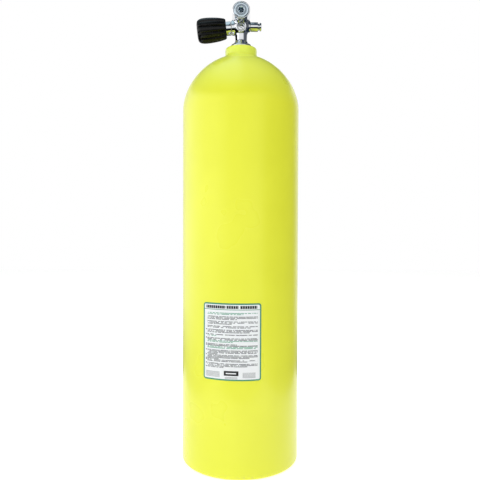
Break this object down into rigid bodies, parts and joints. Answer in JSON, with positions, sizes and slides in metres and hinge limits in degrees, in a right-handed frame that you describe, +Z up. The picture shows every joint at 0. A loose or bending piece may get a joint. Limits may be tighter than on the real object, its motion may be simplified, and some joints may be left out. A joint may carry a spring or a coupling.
{
  "type": "scuba tank",
  "caption": "Yellow aluminium scuba tank with a flat base, a domed shoulder and a chrome tank valve with a turning rubber handwheel and a removable outlet insert.",
  "frame": {"origin": "centre of the flat base, on the surface that the tank stands on", "axes": "+Z up the tank's axis to the valve; -Y the way the valve outlet faces; +X towards the burst disc plug, away from the handwheel"},
  "size_m": [0.1842, 0.1847, 0.7201],
  "materials": {
    "yellow_paint": "gloss lemon yellow powder coat over aluminium",
    "chrome_plate": "bright chrome plate over brass",
    "brass": "plain machined",
    "steel": "turned stainless steel",
    "copper": "soft copper foil",
    "seal_rubber": "smooth moulded",
    "grip_rubber": "satin moulded",
    "black_nylon": "moulded",
    "nylon": "natural, machined",
    "label_film": "printed vinyl, semi-gloss"
  },
  "bodies": {
    "tank": {"cylinder": "yellow_paint", "info_label": "label_film", "valve_body": "chrome_plate", "neck_oring": "seal_rubber", "dip_tube": "brass", "bonnet_nut": "chrome_plate", "bonnet_washer": "nylon", "stem_oring": "seal_rubber", "burst_plug": "chrome_plate", "burst_disc": "copper", "burst_gasket": "nylon", "front_plug": "chrome_plate", "front_plug_oring": "seal_rubber"},
    "handwheel": {"knob_grip": "grip_rubber", "knob_core": "black_nylon", "knob_spring": "steel", "knob_washer": "steel", "knob_nut": "steel", "stem": "steel", "thrust_washer": "nylon"},
    "seat": {"seat_carrier": "brass", "seat_insert": "nylon"},
    "insert_carriage": {"insert_rear_oring": "seal_rubber"},
    "insert": {"outlet_insert": "chrome_plate", "insert_face_oring": "seal_rubber"}
  },
  "joints": [
    {"name": "handwheel_turn", "type": "hinge", "parent": "tank", "child": "handwheel", "pos_m": [0, 0, 0.6892], "axis": [-0.9954, 0, -0.0958], "range_deg": [0, 1080]},
    {"name": "seat_lift", "type": "slide", "parent": "handwheel", "child": "seat", "axis": [-0.9954, 0, -0.0958], "range_m": [0, 0.003]},
    {"name": "insert_travel", "type": "slide", "parent": "tank", "child": "insert_carriage", "axis": [0, -1, 0], "range_m": [0, 0.016]},
    {"name": "insert_turn", "type": "hinge", "parent": "insert_carriage", "child": "insert", "pos_m": [0, -0.028, 0.7065], "axis": [0, -1, 0], "range_deg": [0, 3168]}
  ],
  "couplings": [
    {"joint": "seat_lift", "follows": "handwheel_turn", "m_per_rad": 0.00015915},
    {"joint": "insert_travel", "follows": "insert_turn", "m_per_rad": 0.00028871}
  ]
}
